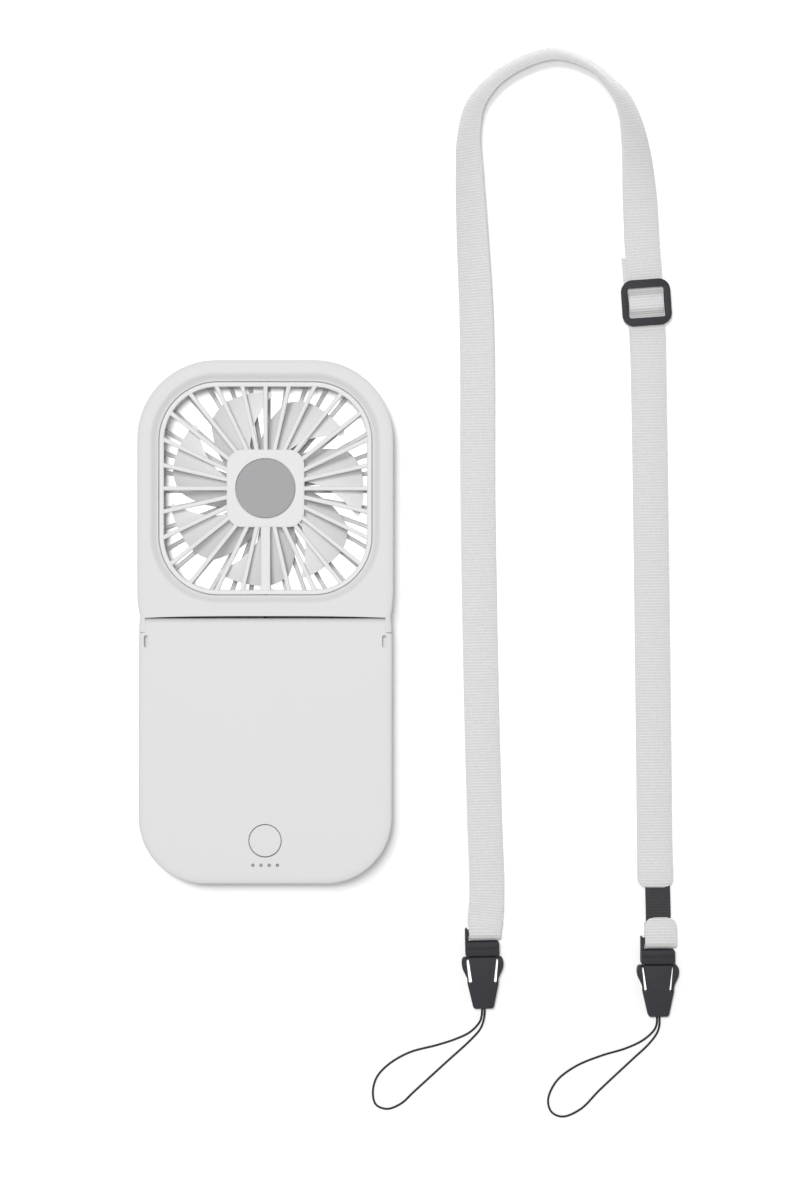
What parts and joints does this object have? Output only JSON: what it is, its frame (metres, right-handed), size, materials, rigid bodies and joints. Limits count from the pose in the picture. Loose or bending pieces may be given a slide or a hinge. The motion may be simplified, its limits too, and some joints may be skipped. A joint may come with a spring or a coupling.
{
  "type": "folding desk fan",
  "caption": "Flat rechargeable fan in two hinged halves: a grilled fan head folds up from a slim base with a power button and charging socket; a neck lanyard lies beside it.",
  "frame": {"origin": "under the middle of the fan without its lanyard, on the surface that it lies on", "axes": "+X to the fan's right, +Y from the base to the fan head, +Z out of the front face"},
  "size_m": [0.1521, 0.3048, 0.02],
  "materials": {
    "white_shell": "fine-textured moulded white plastic",
    "white_blade": "smooth moulded white plastic",
    "grey_disc": "satin grey plastic",
    "clear_guide": "clear moulded plastic",
    "black_plastic": "moulded black plastic",
    "white_strap": "ribbed white webbing",
    "dark_strap": "dark woven strip",
    "black_cord": "thin black cord",
    "steel": "plated steel",
    "bronze": "sintered bearing bronze",
    "copper_winding": "enamelled copper wire on a steel core",
    "cell_foil": "foil pouch",
    "board": "solder-masked laminate"
  },
  "bodies": {
    "base": {"base_front_shell": "white_shell", "base_rear_shell": "white_shell", "battery_cell": "cell_foil", "circuit_board": "board", "charging_socket": "steel", "tact_switch": "black_plastic", "led_light_guide": "clear_guide", "base_screw_1": "steel", "base_screw_2": "steel", "base_screw_3": "steel", "base_screw_4": "steel", "hinge_pin_left": "steel", "hinge_pin_right": "steel", "hinge_washer_left": "steel", "hinge_washer_right": "steel", "base_lead": "black_cord", "neck_strap": "white_strap", "return_strap": "white_strap", "adjuster_slider": "black_plastic", "strap_link": "dark_strap", "end_strap": "white_strap", "left_strap_buckle": "black_plastic", "right_strap_buckle": "black_plastic"},
    "head": {"head_front_frame": "white_shell", "front_grille": "white_shell", "hub_disc": "grey_disc", "head_rear_cover": "white_shell", "head_screw_1": "steel", "head_screw_2": "steel", "head_screw_3": "steel", "head_screw_4": "steel", "motor_stator": "copper_winding", "motor_bush": "bronze", "hinge_lead": "black_cord", "head_lead": "black_cord"},
    "rotor": {"impeller": "white_blade", "rotor_cup": "steel", "motor_shaft": "steel"},
    "button": {"power_button": "white_shell"},
    "left_clip_body": {"left_clip": "black_plastic", "left_loop_cord": "black_cord"},
    "right_clip_body": {"right_clip": "black_plastic", "right_loop_cord": "black_cord"}
  },
  "joints": [
    {"name": "head_fold", "type": "hinge", "parent": "base", "child": "head", "pos_m": [0, -0.0009, 0.0181], "axis": [1, 0, 0], "range_deg": [0, 95], "deforming": ["hinge_lead"]},
    {"name": "impeller_spin", "type": "hinge", "parent": "head", "child": "rotor", "pos_m": [0, 0.0372, 0.0105], "axis": [0, 0, 1], "continuous": true},
    {"name": "button_press", "type": "slide", "parent": "base", "child": "button", "axis": [0, 0, -1], "range_m": [0, 0.0006], "stiffness_N_per_m": 1500},
    {"name": "left_clip_pull", "type": "slide", "parent": "base", "child": "left_clip_body", "axis": [0.0209, -0.9998, 0], "range_m": [0, 0.012]},
    {"name": "right_clip_pull", "type": "slide", "parent": "base", "child": "right_clip_body", "axis": [0.0105, -0.9999, 0], "range_m": [0, 0.012]}
  ]
}
